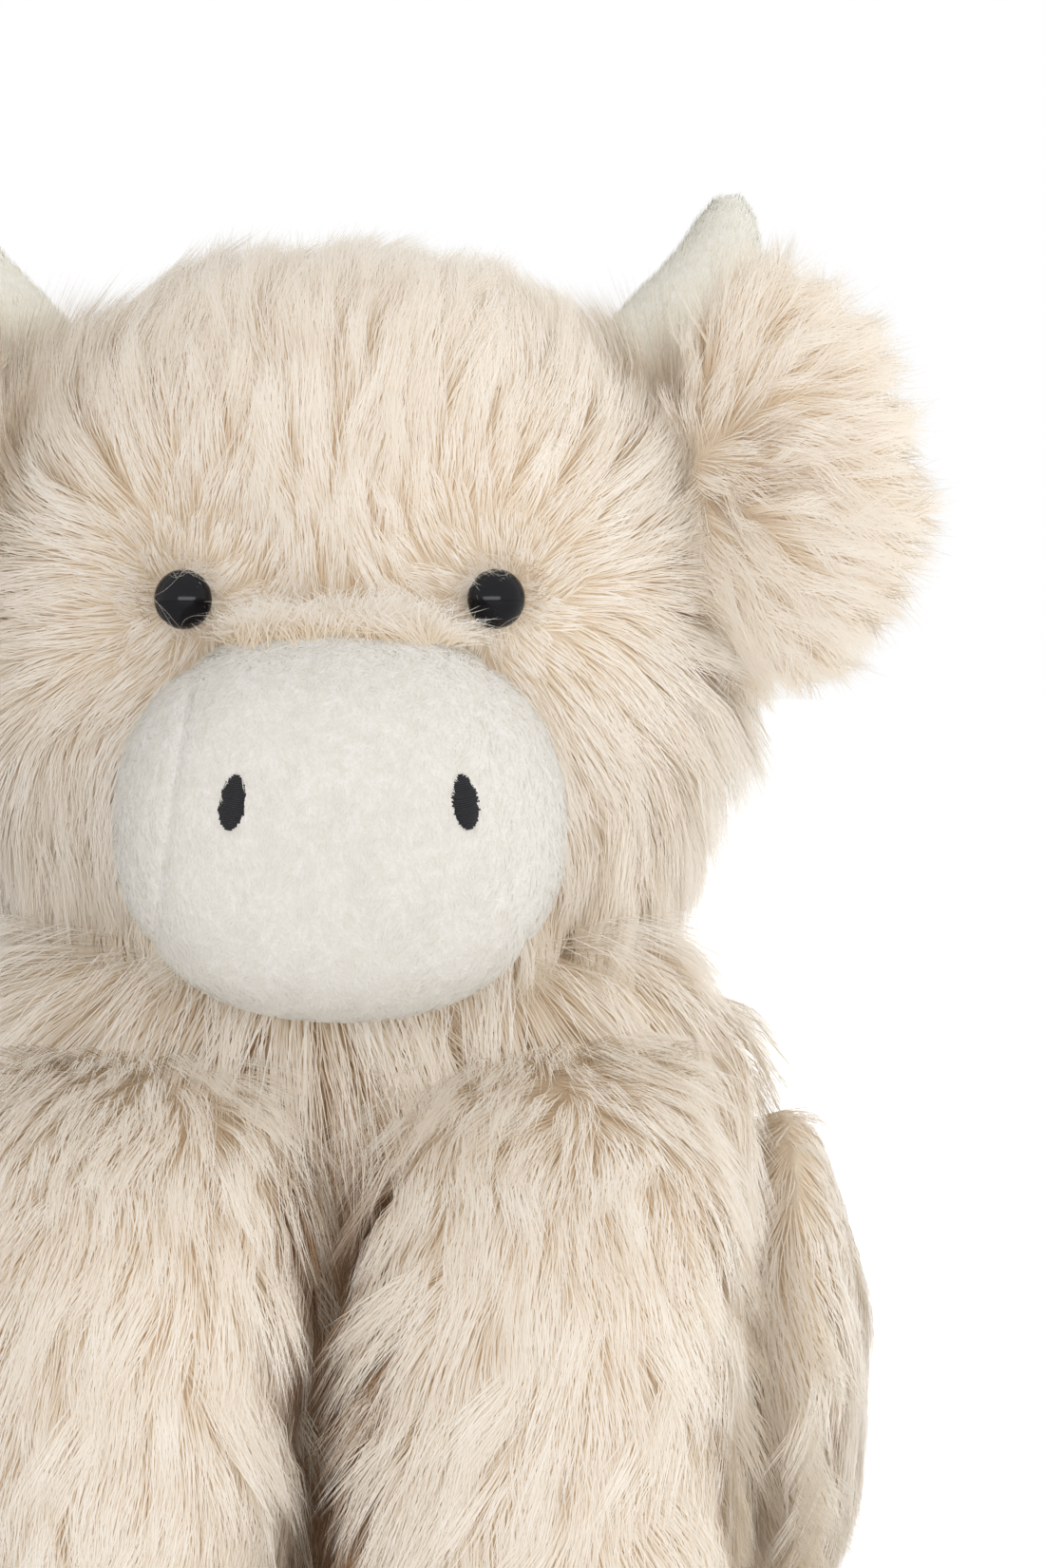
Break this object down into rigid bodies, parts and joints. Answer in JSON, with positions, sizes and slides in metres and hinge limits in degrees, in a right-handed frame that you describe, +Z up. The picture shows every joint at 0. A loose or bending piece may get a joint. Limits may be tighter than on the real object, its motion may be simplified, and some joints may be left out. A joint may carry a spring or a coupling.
{
  "type": "plush cow",
  "caption": "Seated plush cow with long cream fur, a smooth white muzzle, pale horns, fluffy ears and hanging front legs.",
  "frame": {"origin": "middle of the flat seat that the toy sits on", "axes": "+Z up, the face looks along -Y, left is -X as seen by someone who faces the toy"},
  "size_m": [0.288, 0.2626, 0.3459],
  "materials": {
    "long_fur": "long cream faux fur in loose locks",
    "short_pile": "short dense white pile",
    "horn_velour": "pale green-white velour",
    "fibre_filling": "loose white fibre",
    "bag_cotton": "plain woven cotton",
    "black_thread": "satin stitch",
    "eye_plastic": "polished black",
    "washer_plastic": "plain moulded"
  },
  "bodies": {
    "torso": {"body_skin": "long_fur", "body_filling": "fibre_filling", "pellet_bag": "bag_cotton"},
    "head": {"head_skin": "long_fur", "head_filling": "fibre_filling", "muzzle_center_panel": "short_pile", "muzzle_left_panel": "short_pile", "muzzle_right_panel": "short_pile", "nostril_left": "black_thread", "nostril_right": "black_thread", "eye_left": "eye_plastic", "eye_right": "eye_plastic", "eye_washer_left": "washer_plastic", "eye_washer_right": "washer_plastic", "horn_left": "horn_velour", "horn_left_filling": "fibre_filling", "horn_right": "horn_velour", "horn_right_filling": "fibre_filling"},
    "ear_l": {"ear_left": "long_fur"},
    "ear_r": {"ear_right": "long_fur"},
    "front_leg_l": {"front_leg_left": "long_fur", "front_leg_left_filling": "fibre_filling"},
    "front_leg_r": {"front_leg_right": "long_fur", "front_leg_right_filling": "fibre_filling"},
    "hind_leg_l": {"hind_leg_left": "long_fur", "hind_leg_left_filling": "fibre_filling", "hind_foot_left": "long_fur", "hind_foot_left_filling": "fibre_filling"},
    "hind_leg_r": {"hind_leg_right": "long_fur", "hind_leg_right_filling": "fibre_filling", "hind_foot_right": "long_fur", "hind_foot_right_filling": "fibre_filling"},
    "tail_body": {"tail": "long_fur", "tail_tuft": "long_fur"}
  },
  "joints": [
    {"name": "head_turn", "type": "hinge", "parent": "torso", "child": "head", "pos_m": [0, 0, 0.1873], "axis": [0, 0, 1], "range_deg": [-15, 15], "stiffness_Nm_per_rad": 0.05},
    {"name": "ear_left_fold", "type": "hinge", "parent": "head", "child": "ear_l", "pos_m": [-0.081, -0.044, 0.278], "axis": [0, 0, 1], "range_deg": [-8, 25], "stiffness_Nm_per_rad": 0.01},
    {"name": "ear_right_fold", "type": "hinge", "parent": "head", "child": "ear_r", "pos_m": [0.081, -0.044, 0.278], "axis": [0, 0, -1], "range_deg": [-8, 25], "stiffness_Nm_per_rad": 0.01},
    {"name": "front_leg_left_swing", "type": "hinge", "parent": "torso", "child": "front_leg_l", "pos_m": [-0.044, -0.066, 0.168], "axis": [-1, 0, 0], "range_deg": [0, 25]},
    {"name": "front_leg_right_swing", "type": "hinge", "parent": "torso", "child": "front_leg_r", "pos_m": [0.044, -0.066, 0.168], "axis": [-1, 0, 0], "range_deg": [0, 25]},
    {"name": "hind_leg_left_lift", "type": "hinge", "parent": "torso", "child": "hind_leg_l", "pos_m": [-0.088, 0.006, 0.088], "axis": [-1, 0, 0], "range_deg": [0, 40]},
    {"name": "hind_leg_right_lift", "type": "hinge", "parent": "torso", "child": "hind_leg_r", "pos_m": [0.088, 0.006, 0.088], "axis": [-1, 0, 0], "range_deg": [0, 40]},
    {"name": "tail_swing", "type": "hinge", "parent": "torso", "child": "tail_body", "pos_m": [0, 0.06611, 0.1235], "axis": [1, 0, 0], "range_deg": [0, 60]}
  ]
}
